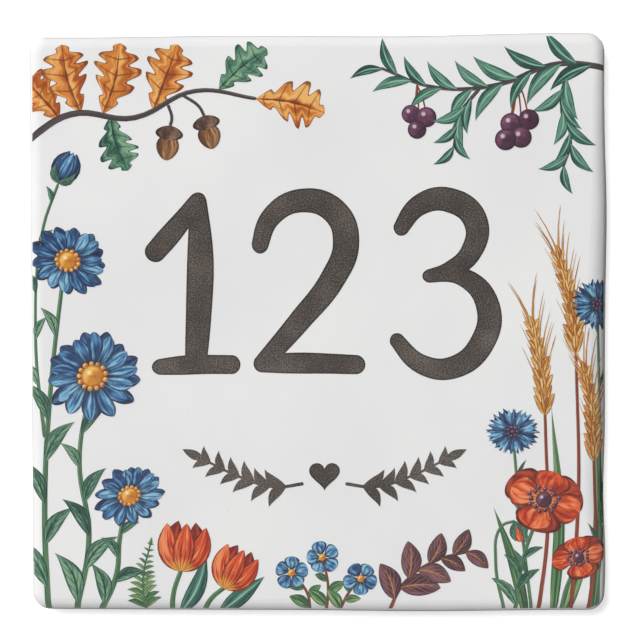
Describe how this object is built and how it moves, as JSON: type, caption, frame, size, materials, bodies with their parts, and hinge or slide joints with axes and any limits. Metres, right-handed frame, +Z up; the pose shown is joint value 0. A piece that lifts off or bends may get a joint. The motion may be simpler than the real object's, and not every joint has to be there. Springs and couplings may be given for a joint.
{
  "type": "house number plaque",
  "caption": "Square white glazed ceramic tile plaque with softly rolled, hand-trimmed edges, a printed house number inside a floral border and a keyed back for fixing to a wall.",
  "frame": {"origin": "middle of the back of the plaque, on the plane that meets the wall", "axes": "+X to the right across the face, +Z up, +Y into the wall, so the printed face looks along -Y"},
  "size_m": [0.1512, 0.009, 0.1511],
  "materials": {
    "white_glaze": "smooth satin gloss glaze, bare fired clay on the back",
    "number_charcoal": "fired print under the glaze, finely speckled",
    "leaf_green": "fired print with brush-stroke shading",
    "petal_blue": "fired print with brush-stroke shading",
    "petal_orange": "fired print with brush-stroke shading",
    "ear_ochre": "fired print with brush-stroke shading",
    "berry_plum": "fired print with brush-stroke shading",
    "acorn_brown": "fired print with brush-stroke shading"
  },
  "bodies": {
    "root": {"plaque": "white_glaze"}
  },
  "joints": []
}
